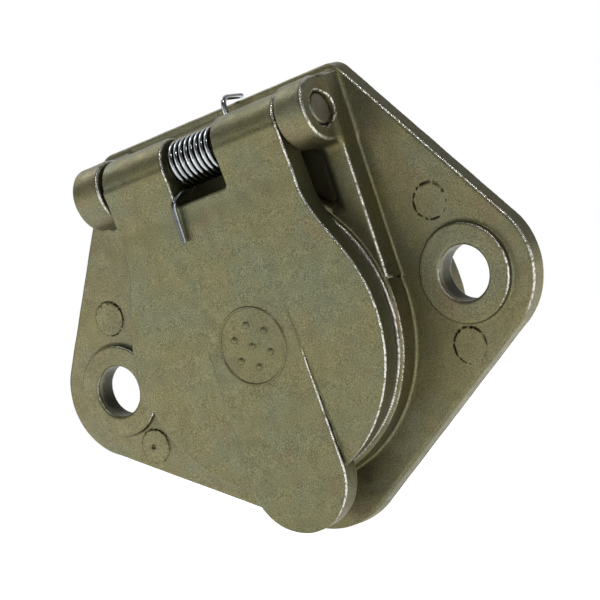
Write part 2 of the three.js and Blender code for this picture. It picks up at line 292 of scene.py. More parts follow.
def surface_nets(field, low, high, step):
    """Vertices near the surface and the quads between them."""
    axes = [np.arange(a - 1.5 * step, b + 2.5 * step, step) for a, b in zip(low, high)]
    x, y, z = np.meshgrid(*axes, indexing="ij", sparse=True)
    inside = np.broadcast_to(field(x, y, z) < 0, [len(a) for a in axes])
    corners = np.zeros([len(a) - 1 for a in axes], np.int8)
    for i in (0, 1):
        for j in (0, 1):
            for k in (0, 1):
                nx, ny, nz = corners.shape
                corners += inside[i:i + nx, j:j + ny, k:k + nz]
    active = (corners > 0) & (corners < 8)
    number = np.full(active.shape, -1, np.int64)
    number[active] = np.arange(active.sum())
    origin = np.array([a[0] for a in axes])
    points = origin + (np.argwhere(active) + 0.5) * step
    quads = []
    for axis in range(3):
        u, v = (axis + 1) % 3, (axis + 2) % 3
        near, far = [slice(1, -1)] * 3, [slice(1, -1)] * 3
        near[axis], far[axis] = slice(0, -1), slice(1, None)
        first, second = inside[tuple(near)], inside[tuple(far)]
        for crossing, turned in ((first & ~second, False), (second & ~first, True)):
            spots = np.argwhere(crossing)
            spots[:, u] += 1
            spots[:, v] += 1
            ring = []
            for du, dv in ((-1, -1), (0, -1), (0, 0), (-1, 0)):
                cell = spots.copy()
                cell[:, u] += du
                cell[:, v] += dv
                ring.append(number[tuple(cell.T)])
            quad = np.stack(ring, 1)
            quads.append(quad[:, ::-1] if turned else quad)
    return points, np.concatenate(quads)


def slope(field, points, reach=0.03):
    """The field's gradient."""
    rows = []
    for axis in range(3):
        step = np.zeros(3)
        step[axis] = reach
        ahead, back = points + step, points - step
        rows.append((field(*ahead.T) - field(*back.T)) / (2 * reach))
    return np.stack(rows, 1)


def settled(field, points, step, rounds=4):
    """Points moved on to the surface, none further than step along any axis."""
    placed = points.copy()
    for _ in range(rounds):
        grad = slope(field, placed)
        size = np.maximum((grad ** 2).sum(1), 0.05)
        placed = placed - grad * (field(*placed.T) / size)[:, None]
        placed = points + np.clip(placed - points, -step, step)
    return placed


def store(mesh, name, values):
    layer = mesh.attributes.new(name, "FLOAT", "POINT")
    layer.data.foreach_set("value", values.astype(np.float32))


def change(mesh, name, values, how):
    """Combines a stored attribute with new values."""
    data = mesh.attributes[name].data
    old = np.zeros(len(data), np.float32)
    data.foreach_get("value", old)
    data.foreach_set("value", how(old, values.astype(np.float32)))


def coordinates(mesh):
    flat = np.zeros(len(mesh.vertices) * 3)
    mesh.vertices.foreach_get("co", flat)
    return flat.reshape(-1, 3)


def object_of(name, vertices, faces):
    """A smooth-shaded mesh object from vertices in millimetres."""
    mesh = bpy.data.meshes.new(name)
    mesh.from_pydata(vertices * MM, [], faces)
    mesh.shade_smooth()
    piece = bpy.data.objects.new(name, mesh)
    bpy.context.scene.collection.objects.link(piece)
    return piece


def thinned(piece, keep):
    """The piece with only that share of its faces."""
    modifier = piece.modifiers.new("thin", "DECIMATE")
    modifier.ratio = keep
    graph = bpy.context.evaluated_depsgraph_get()
    mesh = bpy.data.meshes.new_from_object(piece.evaluated_get(graph))
    piece.modifiers.clear()
    piece.data = mesh


def solid_piece(name, field, low, high, step, keep=1.0):
    """A piece meshed from its field, with its wear-and-highlight mask and its painted shade stored for the
    materials.
    """
    points, quads = surface_nets(field, low, high, step)
    piece = object_of(name, settled(field, points, 0.6 * step), quads)
    if keep < 1:
        thinned(piece, keep)
    mesh = piece.data
    points = settled(field, coordinates(mesh) / MM, 0.3 * step, 2)
    mesh.vertices.foreach_set("co", (points * MM).ravel())
    grad = slope(field, points)
    normals = grad / np.maximum(np.linalg.norm(grad, axis=1), 1e-9)[:, None]
    mesh.shade_smooth()
    mesh.normals_split_custom_set_from_vertices(normals)
    # Edges are lightened partly as wear and partly as painted highlight: those that face +X, towards the edge
    # lamps, most, and those that face up a little.
    facing = np.clip(1.6 * normals[:, 0] + 0.25 * normals[:, 2] + 0.1, 0.04, 1)
    store(mesh, "wear_and_highlight", np.clip(bend_of(field, points, 0.35), 0, 1) * facing)
    store(mesh, "painted_shade", painted_shade_of(field, points, normals))
    mesh.update()
    return piece


def bend_of(field, points, reach):
    """About 1 on a tight outside edge, 0 on a flat and below 0 in a corner."""
    total = -6 * field(*points.T)
    for axis in range(3):
        step = np.zeros(3)
        step[axis] = reach
        for way in (step, -step):
            moved = points + way
            total = total + field(*moved.T)
    return total / reach


def painted_shade_of(field, points, normals):
    """How far other surfaces close a point in, used as painted shade: 0 in the open, 1 in a deep recess."""
    total = np.zeros(len(points))
    share = 0.5
    for reach in (0.6, 1.5, 3.5):
        moved = points + normals * reach
        total += share * np.clip(1 - field(*moved.T) / reach, 0, 1)
        share *= 0.6
    return np.clip(total, 0, 1)


def ring_of(count, radius, turn=0.0):
    angles = turn + 2 * math.pi * np.arange(count) / count
    return radius * np.cos(angles), radius * np.sin(angles)


def turned_piece(name, profile, sides=96):
    """A body turned about Y from (radius, y) points that start and end on the axis."""
    cos, sin = ring_of(sides, 1.0)
    vertices = [(0.0, profile[0][1], 0.0)]
    for radius, y in profile[1:-1]:
        vertices += [(radius * c, y, radius * s) for c, s in zip(cos, sin)]
    vertices.append((0.0, profile[-1][1], 0.0))
    rows = len(profile) - 2
    last = len(vertices) - 1
    faces = []
    for i in range(sides):
        j = (i + 1) % sides
        faces.append((0, 1 + i, 1 + j))
        for row in range(rows - 1):
            a, b = 1 + row * sides, 1 + (row + 1) * sides
            faces.append((a + i, b + i, b + j, a + j))
        end = 1 + (rows - 1) * sides
        faces.append((end + i, last, end + j))
    return object_of(name, np.array(vertices), faces)


def swept_piece(name, path, radius, sides=14):
    """A round wire along a path of points, closed at both ends."""
    path = np.array(path)
    along = np.gradient(path, axis=0)
    along /= np.linalg.norm(along, axis=1)[:, None]
    side = np.cross(along[0], (0.31, 0.52, 0.79))
    vertices = []
    for point, way in zip(path, along):
        side = side - way * side.dot(way)
        side /= np.linalg.norm(side)
        other = np.cross(way, side)
        cos, sin = ring_of(sides, radius)
        vertices += [point + side * c + other * s for c, s in zip(cos, sin)]
    faces = []
    for row in range(len(path) - 1):
        for i in range(sides):
            j = (i + 1) % sides
            a, b = row * sides, (row + 1) * sides
            faces.append((a + i, a + j, b + j, b + i))
    for row, way in ((0, -1), (len(path) - 1, 1)):
        rim = [row * sides + i for i in range(sides)]
        vertices.append(path[row] + along[row] * way * 0.25 * radius)
        tip = len(vertices) - 1
        for i in range(sides):
            pair = (rim[i], rim[(i + 1) % sides])
            faces.append((*pair, tip) if way > 0 else (*pair[::-1], tip))
    return object_of(name, np.array(vertices), faces)


# ---- materials ----

def material_of(name):
    """A new material with its nodes, its links and its shader."""
    material = bpy.data.materials.new(name)
    material.use_nodes = True
    nodes, links = material.node_tree.nodes, material.node_tree.links
    return material, nodes, links, nodes["Principled BSDF"]


def noise_of(nodes, links, size, detail=3.0, roughness=0.55):
    """Noise whose features are about that many millimetres across."""
    where = nodes.new("ShaderNodeTexCoord").outputs["Object"]
    noise = nodes.new("ShaderNodeTexNoise")
    noise.inputs["Scale"].default_value = 1 / (size * MM)
    noise.inputs["Detail"].default_value = detail
    noise.inputs["Roughness"].default_value = roughness
    links.new(where, noise.inputs["Vector"])
    return noise.outputs["Fac"]


def ramp(nodes, links, source, low, high, out_low=0.0, out_high=1.0):
    """The source carried smoothly from low..high to out_low..out_high."""
    node = nodes.new("ShaderNodeMapRange")
    node.interpolation_type = "SMOOTHSTEP"
    node.inputs["From Min"].default_value = low
    node.inputs["From Max"].default_value = high
    node.inputs["To Min"].default_value = out_low
    node.inputs["To Max"].default_value = out_high
    links.new(source, node.inputs["Value"])
    return node.outputs["Result"]


def times(nodes, links, a, b):
    node = nodes.new("ShaderNodeMath")
    node.operation = "MULTIPLY"
    links.new(a, node.inputs[0])
    links.new(b, node.inputs[1])
    return node.outputs["Value"]


def mixed(nodes, links, share, a, b, blend="MIX"):
    """Colour a turned into colour b by share; each may be a colour or another node's output."""
    node = nodes.new("ShaderNodeMix")
    node.data_type = "RGBA"
    node.blend_type = blend
    if isinstance(share, float):
        node.inputs["Factor"].default_value = share
    else:
        links.new(share, node.inputs["Factor"])
    for socket, value in ((node.inputs[6], a), (node.inputs[7], b)):
        if isinstance(value, tuple):
            socket.default_value = (*value, 1)
        else:
            links.new(value, socket)
    return node.outputs[2]


def stored(nodes, name):
    node = nodes.new("ShaderNodeAttribute")
    node.attribute_name = name
    return node.outputs["Fac"]


def bumped(nodes, links, shader, layers):
    """Bump from (height, depth in millimetres) layers, one on top of another."""
    normal = None
    for height, depth in layers:
        node = nodes.new("ShaderNodeBump")
        node.inputs["Distance"].default_value = depth * MM
        links.new(height, node.inputs["Height"])
        if normal is not None:
            links.new(normal, node.inputs["Normal"])
        normal = node.outputs["Normal"]
    links.new(normal, shader.inputs["Normal"])


# Colours painted over the skin: SHADED_ZINC is painted shade for recesses, MACHINED_ZINC is the rim's own
# machined colour, and the rubbed colour lightens edges partly as wear and partly as painted highlight.
SHADED_ZINC = (0.012, 0.011, 0.007)
MACHINED_ZINC = (0.40, 0.38, 0.32)
RUBBED_AND_HIGHLIT_ZINC = (0.66, 0.65, 0.60)


def cast_zinc(name, olive, pale, bronze):
    """Passivated die-cast zinc: olive skin, blue-grey patches, fine grain, painted shade in sheltered places,
    and light edges that are partly wear and partly painted highlight.
    """
    material, nodes, links, shader = material_of(name)
    patches = ramp(nodes, links, noise_of(nodes, links, 11.0, 3.0), 0.38, 0.66)
    blooms = ramp(nodes, links, noise_of(nodes, links, 5.0, 4.0, 0.65), 0.50, 0.72)
    grain = noise_of(nodes, links, 0.17, 2.0, 0.7)
    colour = mixed(nodes, links, patches, olive, pale)
    colour = mixed(nodes, links, blooms, colour, bronze)
    speck = mixed(nodes, links, ramp(nodes, links, grain, 0.32, 0.68), (0.60, 0.60, 0.60), (1.44, 1.44, 1.42))
    colour = mixed(nodes, links, 1.0, colour, speck, "MULTIPLY")
    # Painted shade: sheltered places darkened towards near-black.
    painted_shade = ramp(nodes, links, stored(nodes, "painted_shade"), 0.35, 0.9, 0.0, 0.85)
    colour = mixed(nodes, links, painted_shade, colour, SHADED_ZINC)
    colour = mixed(nodes, links, stored(nodes, "machined"), colour, MACHINED_ZINC)
    # Light edges: partly wear, and partly painted highlight on edges that face the lamps.
    chance = ramp(nodes, links, noise_of(nodes, links, 0.45, 3.0, 0.7), 0.36, 0.54)
    rubbed_and_highlit = times(nodes, links, ramp(nodes, links, stored(nodes, "wear_and_highlight"), 0.35, 0.75), chance)
    colour = mixed(nodes, links, rubbed_and_highlit, colour, RUBBED_AND_HIGHLIT_ZINC)
    links.new(colour, shader.inputs["Base Color"])
    shader.inputs["Metallic"].default_value = 0.9
    dull = ramp(nodes, links, noise_of(nodes, links, 2.2, 3.0), 0.3, 0.7, 0.34, 0.46)
    rough = nodes.new("ShaderNodeMix")
    links.new(rubbed_and_highlit, rough.inputs["Factor"])
    links.new(dull, rough.inputs["A"])
    rough.inputs["B"].default_value = 0.20
    links.new(rough.outputs["Result"], shader.inputs["Roughness"])
    skin = noise_of(nodes, links, 2.6, 3.0, 0.5)
    bumped(nodes, links, shader, [(skin, 0.10), (grain, 0.045)])
    return material


def bright_metal(name, tint, rough_low, rough_high):
    """Plated steel or brass with a fine grain, a little staining and painted shade in sheltered places."""
    material, nodes, links, shader = material_of(name)
    stain = ramp(nodes, links, noise_of(nodes, links, 2.0, 3.0), 0.42, 0.75, 0.0, 0.55)
    dull = tuple(0.45 * c for c in tint)
    colour = mixed(nodes, links, stain, tint, dull)
    # Painted shade: sheltered places darkened almost to black.
    colour = mixed(nodes, links, stored(nodes, "painted_shade"), colour, tuple(0.06 * c for c in tint))
    links.new(colour, shader.inputs["Base Color"])
    shader.inputs["Metallic"].default_value = 1.0
    fine = noise_of(nodes, links, 0.25, 2.0)
    links.new(ramp(nodes, links, fine, 0.3, 0.7, rough_low, rough_high), shader.inputs["Roughness"])
    bumped(nodes, links, shader, [(fine, 0.012)])
    return material


def moulded(name, base, light, rough_low, rough_high, depth):
    """Moulded phenolic or rubber, with a cloudy skin."""
    material, nodes, links, shader = material_of(name)
    cloud = ramp(nodes, links, noise_of(nodes, links, 3.5, 4.0), 0.4, 0.75)
    links.new(mixed(nodes, links, cloud, base, light), shader.inputs["Base Color"])
    fine = noise_of(nodes, links, 0.3, 2.0)
    links.new(ramp(nodes, links, fine, 0.3, 0.7, rough_low, rough_high), shader.inputs["Roughness"])
    bumped(nodes, links, shader, [(fine, depth)])
    return material


CAST = cast_zinc("cast_housing", (0.150, 0.138, 0.070), (0.140, 0.138, 0.085), (0.150, 0.124, 0.072))
CAST_LID = cast_zinc("cast_lid", (0.142, 0.133, 0.067), (0.130, 0.134, 0.080), (0.137, 0.122, 0.067))
SPRING = bright_metal("spring_steel", (0.46, 0.49, 0.50), 0.12, 0.20)
PIN = bright_metal("pin_steel", (0.24, 0.215, 0.16), 0.32, 0.50)
SCREW = bright_metal("screw_steel", (0.62, 0.58, 0.44), 0.25, 0.42)
BRASS = bright_metal("brass", (0.72, 0.53, 0.22), 0.20, 0.38)
PHENOLIC = moulded("insert", (0.020, 0.018, 0.017), (0.050, 0.042, 0.036), 0.38, 0.60, 0.02)
RUBBER = moulded("rubber", (0.012, 0.012, 0.012), (0.035, 0.034, 0.032), 0.70, 0.90, 0.03)


def finished(piece, material, slot, body, *nodes):
    """Gives a piece its material and its body, and hides the CAD nodes it replaces. The slot is not used."""
    piece.data.materials.clear()
    piece.data.materials.append(material)
    if nodes:
        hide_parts(*nodes)
    if body:
        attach(piece, body)


# ---- housing ----

def flange_outline(across, z):
    """The flange's outline, the same on both sides: a belt round its corners and the middle filled in."""
    lobe = (HOLE_X, 0.0, LOBE_RADIUS)
    top_middle = (0.0, TOP_CORNER[1], TOP_CORNER[2])
    sides = ((lobe, TOP_CORNER), (TOP_CORNER, top_middle), (BOTTOM_CORNER, lobe))
    lean = TOP_CORNER[1] * (across - HOLE_X) + (HOLE_X - TOP_CORNER[0]) * z
    rise = -BOTTOM_CORNER[1] * (across - HOLE_X) - HOLE_X * z
    middle = np.maximum(lean / math.hypot(TOP_CORNER[1], HOLE_X - TOP_CORNER[0]), z - TOP_CORNER[1])
    middle = np.maximum(middle, rise / math.hypot(BOTTOM_CORNER[1], HOLE_X))
    for first, second in sides:
        middle = np.minimum(middle, belt(across, z, first, second))
    return middle


def shoulder_field(across, y, z, radius, behind):
    """The barrel's front and the straight walls that run up from it to the ears."""
    ahead = FLANGE_FRONT - y
    walls = np.maximum(across - SHOULDER_HALF_WIDTH, np.maximum(z - SHOULDER_TOP, SHOULDER_START - z))
    outline = np.minimum(radius - BARREL_RADIUS, walls)
    outline = outline - SHOULDER_DRAFT * np.clip(SHOULDER_HEIGHT - ahead, 0, SHOULDER_HEIGHT)
    front = np.maximum(SHOULDER_BEHIND - behind, ahead - SHOULDER_HEIGHT)
    solid = np.maximum(rounded(outline, front, SHOULDER_EDGE), y - RIM_ROOT)
    lean = HOLLOW_LEAN * (ahead - HOLLOW_FLOOR)
    hollow = np.maximum(across - HOLLOW_HALF_WIDTH - lean, BARREL_RADIUS + HOLLOW_GAP - radius)
    hollow = np.maximum(np.maximum(hollow, HOLLOW_BOTTOM - lean - z), HOLLOW_FLOOR - ahead)
    return cut(solid, hollow, HOLLOW_EDGE)


def ear_field(across, y, z):
    """A hinge ear: round in front, and running straight back into the flange."""
    round_part = np.hypot(y - np.clip(y, HINGE_Y, RIM_ROOT), z - HINGE_Z) - EAR_RADIUS
    return slab(round_part, across, EAR_INNER, EAR_OUTER, CAST_EDGE)


def housing_field(x, y, z):
    """The whole casting: flange, bosses, pads, barrel, rim, shoulder, ears and the cuts in them."""
    across = np.abs(x)
    radius = np.hypot(x, z)
    behind, _ = lid_frame(y, z)
    flange = slab(flange_outline(across, z) - FLANGE_DRAFT * y, y, FLANGE_FRONT, 0.0, CAST_EDGE)
    hole = np.hypot(across - HOLE_X, z)
    boss = slab(hole - BOSS_RADIUS, y, FLANGE_FRONT - BOSS_HEIGHT, BOSS_ROOT, BOSS_EDGE)
    solid = joined(flange, boss, CAST_FILLET)
    for pad_x, pad_z in PADS:
        pad = np.hypot(across - pad_x, z - pad_z) - PAD_RADIUS
        height = np.where(x > 0, PAD_RIGHT_SHARE, 1.0) * PAD_HEIGHT
        proud = np.maximum(pad, np.maximum(FLANGE_FRONT - height - y, y - BOSS_ROOT))
        solid = joined(solid, proud, PAD_FILLET)
    dot_x, dot_y, dot_z = x + PADS[1][0] + DOT_OFFSET, y - FLANGE_FRONT + PAD_HEIGHT, z - PADS[1][1]
    solid = cut(solid, np.sqrt(dot_x ** 2 + dot_z ** 2 + dot_y ** 2) - DOT_RADIUS, DOT_EDGE)
    solid = joined(solid, shoulder_field(across, y, z, radius, behind), CAST_FILLET)
    rim = np.maximum(rounded(radius - RIM_RADIUS, RIM_BEHIND - behind, RIM_EDGE), y - RIM_ROOT)
    solid = joined(solid, rim, RIM_FILLET)
    barrel = slab(radius - BARREL_RADIUS, y, BOSS_ROOT, BARREL_BACK, BARREL_EDGE)
    solid = joined(solid, barrel, BARREL_FILLET)
    trough = np.where(z > HINGE_Z, y - HINGE_Y, np.hypot(y - HINGE_Y, z - HINGE_Z)) - TROUGH_RADIUS
    solid = cut(solid, np.maximum(trough, across - EAR_INNER), SLOT_EDGE)
    solid = joined(solid, ear_field(across, y, z), EAR_FILLET)
    solid = cut(solid, np.maximum(radius - BORE_RADIUS, y - LEDGE_FRONT), RECESS_EDGE)
    solid = cut(solid, radius - LEDGE_BORE_RADIUS, RECESS_EDGE)
    keyway = np.maximum(across - KEYWAY_HALF_WIDTH, np.abs(z - KEYWAY_Z) - KEYWAY_HALF_HEIGHT)
    solid = cut(solid, np.maximum(keyway, y - INSERT_LOW[1]), KEYWAY_EDGE)
    solid = cut(solid, hole - HOLE_RADIUS, BOLT_HOLE_EDGE)
    for angle in FIXING_ANGLES:
        cx, cz = on_circle(FIXING_CIRCLE, angle)
        screw = np.hypot(x - cx, z - cz) - FIXING_RADIUS
        solid = cut(solid, np.maximum(screw, FIXING_START - y), SCREW_HOLE_EDGE)
    solid = cut(solid, np.hypot(y - HINGE_Y, z - HINGE_Z) - PIN_RADIUS - HOUSING_PIN_GAP, PIN_HOLE_EDGE)
    ragged = STAKE_RAGGED * np.sin(STAKE_TEETH * np.arctan2(z - HINGE_Z, y - HINGE_Y))
    mouth = np.hypot(y - HINGE_Y + STAKE_FORWARD, z - HINGE_Z + STAKE_DOWN) - PIN_RADIUS - STAKE_GAP - ragged
    solid = cut(solid, np.maximum(mouth, EAR_OUTER - STAKE_DEPTH - across), STAKE_EDGE)
    return solid + ripple(x, y, z, HOUSING_RIPPLE)


def make_housing():
    """The housing, with its machined rim, painted shade deep in its bolt holes and unworn pads stored for the
    material.
    """
    piece = solid_piece("housing_casting", housing_field, HOUSING_LOW, HOUSING_HIGH, step=0.34, keep=0.55)
    x, y, z = (coordinates(piece.data) / MM).T
    behind, _ = lid_frame(y, z)
    on_rim = (np.hypot(x, z) < RIM_RADIUS + 0.1) & (behind < RIM_BEHIND + 0.15)
    store(piece.data, "machined", on_rim.astype(float))
    # Painted shade growing deeper into each bolt hole.
    in_hole = np.hypot(np.abs(x) - HOLE_X, z) < HOLE_RADIUS + 0.1
    fade_depth, deepest_painted_shade = 1.5, 0.85
    depth = np.clip((y - FLANGE_FRONT + BOSS_HEIGHT) / fade_depth, 0, 1) * deepest_painted_shade
    change(piece.data, "painted_shade", np.where(in_hole, depth, 0), np.maximum)
    for pad_x, pad_z in PADS:
        off_pad = np.hypot(np.abs(x) - pad_x, z - pad_z) > PAD_RADIUS + 0.5
        change(piece.data, "wear_and_highlight", off_pad.astype(float), np.minimum)
    finished(piece, CAST, "cast_housing", "socket_body", "housing")


# ---- lid ----

def tab_rise(up):
    """How far the tab stands proud of the lid's face."""
    return np.clip((TAB_RISE_START - up) * TAB_SLOPE, TAB_SUNK, TAB_RISE)


def lid_field(x, y, z):
    """Cap, neck, tab and hinge barrel, with the pocket, the spring's slot and the pin's hole cut."""
    behind, up = lid_frame(y, z)
    across = np.abs(x)
    depth = behind - LID_FRONT
    radius = np.hypot(x, up - LID_CENTRE)
    disc = radius - LID_RADIUS + LID_TAPER * depth
    neck = np.maximum(across - LID_HALF_WIDTH, np.maximum(up, LID_CENTRE - up)) + NECK_TAPER * depth
    dip = DIP_DEPTH * np.exp(-((up - DIP_UP) / DIP_REACH) ** 2)
    solid = rounded(joined(disc, neck, NECK_FILLET), np.maximum(dip - depth, behind - LID_BACK), LID_EDGE)
    pocket = np.maximum(np.maximum(across - POCKET_HALF_WIDTH, up - POCKET_TOP), LID_CENTRE - up)
    pocket = np.maximum(joined(radius - POCKET_RADIUS, pocket, POCKET_FILLET), LID_SHEET - depth)
    solid = cut(solid, pocket, RECESS_EDGE)
    tab_faces = np.maximum(-depth - tab_rise(up), depth - LID_SHEET)
    solid = joined(solid, rounded(belt(x, up, TAB_TOP, TAB_END), tab_faces, TAB_EDGE), TAB_FILLET)
    knuckle = np.hypot(behind, up) + LID_FRONT - KNUCKLE_PROUD
    knuckle = slab(knuckle, x, -LID_HALF_WIDTH, LID_HALF_WIDTH, CAST_EDGE)
    solid = joined(solid, knuckle, KNUCKLE_FILLET)
    middle, half = (SLOT_LEFT + SLOT_RIGHT) / 2, (SLOT_RIGHT - SLOT_LEFT) / 2
    slot = rounded(np.abs(x - middle) - half, SLOT_DOWN - up, SLOT_CORNER)
    solid = cut(solid, slot, SLOT_EDGE)
    solid = cut(solid, np.hypot(behind, up) - PIN_RADIUS - LID_PIN_GAP, PIN_HOLE_EDGE)
    return solid + ripple(x, y, z, LID_RIPPLE)


def make_lid():
    piece = solid_piece("lid_casting", lid_field, LID_LOW, LID_HIGH, step=0.24, keep=0.5)
    finished(piece, CAST_LID, "cast_lid", "lid_body", "lid")


def on_lid(x, up, behind):
    """A point given square to the closed lid, carried into the shared frame."""
    c, s = math.cos(LID_TILT), math.sin(LID_TILT)
    return (x, HINGE_Y + behind * c - up * s, HINGE_Z + up * c + behind * s)


def make_lid_mark():
    """A plain cast mark: a fine ring round seven dots, one for each pole."""
    height, width = MARK_HEIGHT, MARK_HALF_WIDTH
    vertices, faces = [], []

    def on_face(x, up, lift):
        return on_lid(x, up, LID_FRONT - tab_rise(up) - lift)

    def ridge(cx, cup, radius, sides):
        start = len(vertices)
        brow = 0.75 * height
        shoulder = 0.5 * width
        section = ((-width, MARK_SUNK), (-shoulder, brow), (0, height), (shoulder, brow), (width, MARK_SUNK))
        cos, sin = ring_of(sides, 1.0)
        for c, s in zip(cos, sin):
            for out, lift in section:
                vertices.append(on_face(cx + (radius + out) * c, cup + (radius + out) * s, lift))
        for i in range(sides):
            for j in range(len(section) - 1):
                a, b = start + i * len(section) + j, start + (i + 1) % sides * len(section) + j
                faces.append((a, b, b + 1, a + 1))

    def dot(cx, cup, radius, sides):
        start = len(vertices)
        cos, sin = ring_of(sides, 1.0)
        rows = ((1.0, MARK_SUNK), (0.86, 0.6 * height), (0.5, height))
        for share, lift in rows:
            for c, s in zip(cos, sin):
                vertices.append(on_face(cx + radius * share * c, cup + radius * share * s, lift))
        vertices.append(on_face(cx, cup, 1.1 * height))
        for i in range(sides):
            j = (i + 1) % sides
            for row in range(len(rows) - 1):
                a, b = start + row * sides, start + (row + 1) * sides
                faces.append((a + i, a + j, b + j, b + i))
            faces.append((start + 2 * sides + i, start + 2 * sides + j, len(vertices) - 1))

    ridge(0, MARK_UP, MARK_RADIUS, sides=120)
    dot(0, MARK_UP, MARK_DOT_RADIUS, sides=20)
    for x, up in zip(*ring_of(CONTACT_COUNT - 1, MARK_DOT_CIRCLE, math.pi / 2)):
        dot(x, MARK_UP + up, MARK_DOT_RADIUS, sides=20)
    piece = object_of("lid_mark", np.array(vertices), faces)
    finished(piece, CAST_LID, "cast_lid", "lid_body")


def make_seal():
    """The rubber disc in the lid, with the print of the rim in it."""
    radius, face, back = 21.6, -0.08, -1.6
    profile = [
        (0, back), (radius - 0.3, back), (radius, back + 0.3), (radius, face - 0.25),
        (radius - 0.25, face), (radius - 0.6, face), (radius - 0.85, face - 0.12), (19.6, face - 0.12),
        (19.3, face), (12.4, face), (12.1, face - 0.25), (11.5, face - 0.25), (11.2, face),
        (2.4, face), (2.1, face - 0.5), (0, face - 0.5),
    ]
    piece = turned_piece("lid_seal_disc", profile)
    piece.data.transform(Matrix.Translation((0, 0, LID_CENTRE * MM)))
    piece.data.transform(Matrix.Rotation(LID_TILT, 4, "X"))
    piece.data.transform(Matrix.Translation((0, HINGE_Y * MM, HINGE_Z * MM)))
    finished(piece, RUBBER, "rubber", "lid_body", "lid_seal")


# ---- hinge pin and spring ----

def pin_field(x, y, z):
    """A plain pin with its ends spread a little by staking."""
    radius = np.hypot(y - HINGE_Y, z - HINGE_Z)
    across = np.abs(x)
    body = radius - PIN_RADIUS - 0.05 * np.clip(across - PIN_END + 1.2, 0, 1)
    return slab(body, x, -PIN_END, PIN_END, 0.5)


def make_pin():
    low, high = PIN_LOW - 0.3, PIN_HIGH + 0.3
    piece = solid_piece("hinge_pin_steel", pin_field, low, high, step=0.2, keep=0.35)
    finished(piece, PIN, "pin_steel", "socket_body", "hinge_pin")


def smooth_through(points, steps):
    """A smooth curve through given points."""
    points = np.array(points, float)
    padded = np.vstack([2 * points[0] - points[1], points, 2 * points[-1] - points[-2]])
    out = []
    for i in range(1, len(padded) - 2):
        p0, p1, p2, p3 = padded[i - 1:i + 3]
        for t in np.arange(steps) / steps:
            a = 2 * p1 + (p2 - p0) * t
            b = (2 * p0 - 5 * p1 + 4 * p2 - p3) * t * t
            out.append(0.5 * (a + b + (3 * p1 - p0 - 3 * p2 + p3) * t ** 3))
    out.append(points[-1])
    return out


def spring_path():
    """Down the lid's face, round the hinge pin, and up and back over the flange's top edge."""
    start, end = math.radians(200), math.radians(270 + COIL_TURNS * 360)
    steps = 24 * (COIL_TURNS + 1)

    def at(x, z, ahead):
        return (x, FLANGE_FRONT - ahead, z)

    def on_coil(share):
        angle = start + (end - start) * share
        x = COIL_LEFT + (COIL_RIGHT - COIL_LEFT) * share
        return (x, HINGE_Y - COIL_RADIUS * math.sin(angle), HINGE_Z + COIL_RADIUS * math.cos(angle))

    leg = [
        at(-5.2, 18.4, 10.85), at(-5.1, 20.5, 10.97), at(-5.0, 22.6, 11.1), at(-4.85, 24.1, 11.2),
        at(-4.6, 24.9, 10.85), at(-4.45, 25.7, 9.4), at(-4.4, 26.5, 7.2), on_coil(0), on_coil(1 / steps),
    ]
    coil = [on_coil(i / steps) for i in range(1, steps)]
    front = FLANGE_FRONT - HINGE_Y - COIL_RADIUS
    hook = [
        on_coil(1 - 1 / steps), on_coil(1), at(COIL_RIGHT, 33.5, front), at(COIL_RIGHT, 36.4, front),
        at(COIL_RIGHT, 37.7, front - 0.3), at(COIL_RIGHT, 38.3, front - 1.1),
        at(COIL_RIGHT, 38.35, 0), at(COIL_RIGHT, 38.3, -3),
    ]
    return smooth_through(leg, 8)[:-1] + coil[:-1] + smooth_through(hook, 8)


def make_spring():
    """The wire, with painted shade between its turns and on the front of its leg, bending from housing to
    lid.
    """
    piece = swept_piece("lid_spring_wire", spring_path(), WIRE_RADIUS)
    x, y, z = (coordinates(piece.data) / MM).T
    sideways = np.array([abs(v.normal.x) for v in piece.data.vertices])
    coil_reach = 4.2
    in_coil = (np.hypot(y - HINGE_Y, z - HINGE_Z) < coil_reach) & (z > HINGE_Z - coil_reach)
    forward = np.array([-v.normal.y for v in piece.data.vertices])
    on_leg = z < HINGE_Z - 4.6
    # Painted shade between the coil's turns and on the front of the leg.
    painted_shade = np.clip((sideways - 0.35) / 0.4, 0, 1) * in_coil
    store(piece.data, "painted_shade", painted_shade + 0.85 * np.clip((forward - 0.5) / 0.3, 0, 1) * on_leg)
    finished(piece, SPRING, "spring_steel", None, "lid_spring")
    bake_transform(piece)


# ---- insert, contacts and screws ----

def on_circle(radius, degrees):
    angle = math.radians(degrees)
    return radius * math.cos(angle), radius * math.sin(angle)


def contact_place(number):
    """Centre and outward direction of a contact; the last one is in the middle."""
    if number == CONTACT_COUNT:
        return 0.0, 0.0, 90
    outward = 60 * (number - 1)
    return (*on_circle(CONTACT_CIRCLE, outward), outward)


